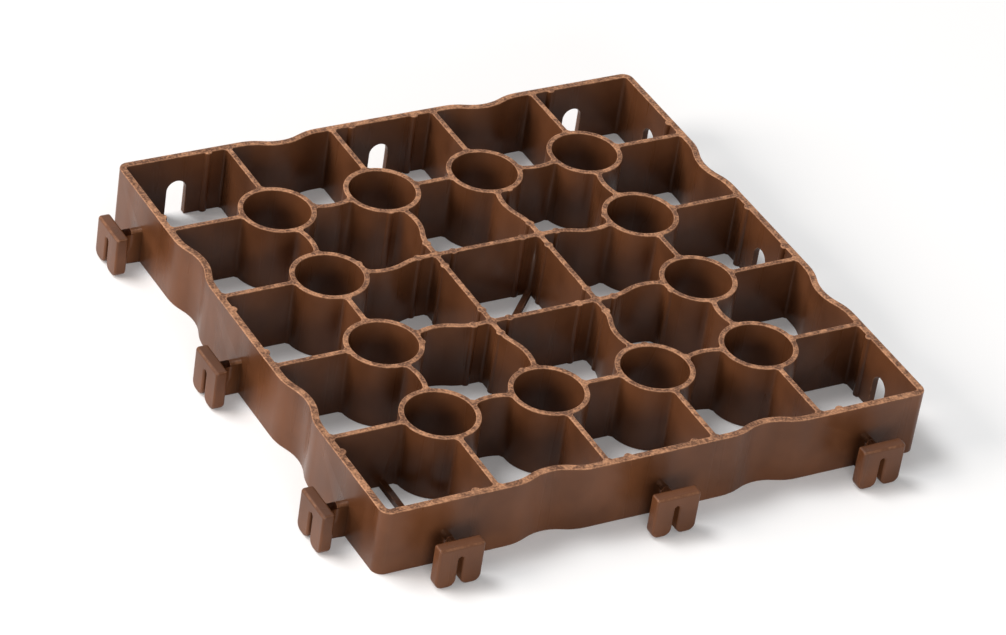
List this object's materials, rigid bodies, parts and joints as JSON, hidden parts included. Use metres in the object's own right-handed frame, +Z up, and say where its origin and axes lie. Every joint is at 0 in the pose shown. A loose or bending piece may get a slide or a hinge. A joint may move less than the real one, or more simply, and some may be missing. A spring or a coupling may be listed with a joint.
{
  "type": "grass paver grid",
  "caption": "Square moulded plastic paving grid, open from top to bottom, with waved walls, rings at the crossings, hooks on two sides and arches on the others.",
  "frame": {"origin": "centre of the square body on its underside, at the hub under the middle cell", "axes": "+X to the right along the front side, +Y to the back, +Z up; hooks on the front (-Y) and left (-X) sides, arches in the back (+Y) and right (+X) sides"},
  "size_m": [0.3525, 0.3525, 0.04],
  "materials": {
    "recycled_plastic": "dark brown moulded recycled polyolefin with a soft sheen, paler on the scuffed top edges"
  },
  "bodies": {
    "root": {"paver_grid": "recycled_plastic"}
  },
  "joints": []
}
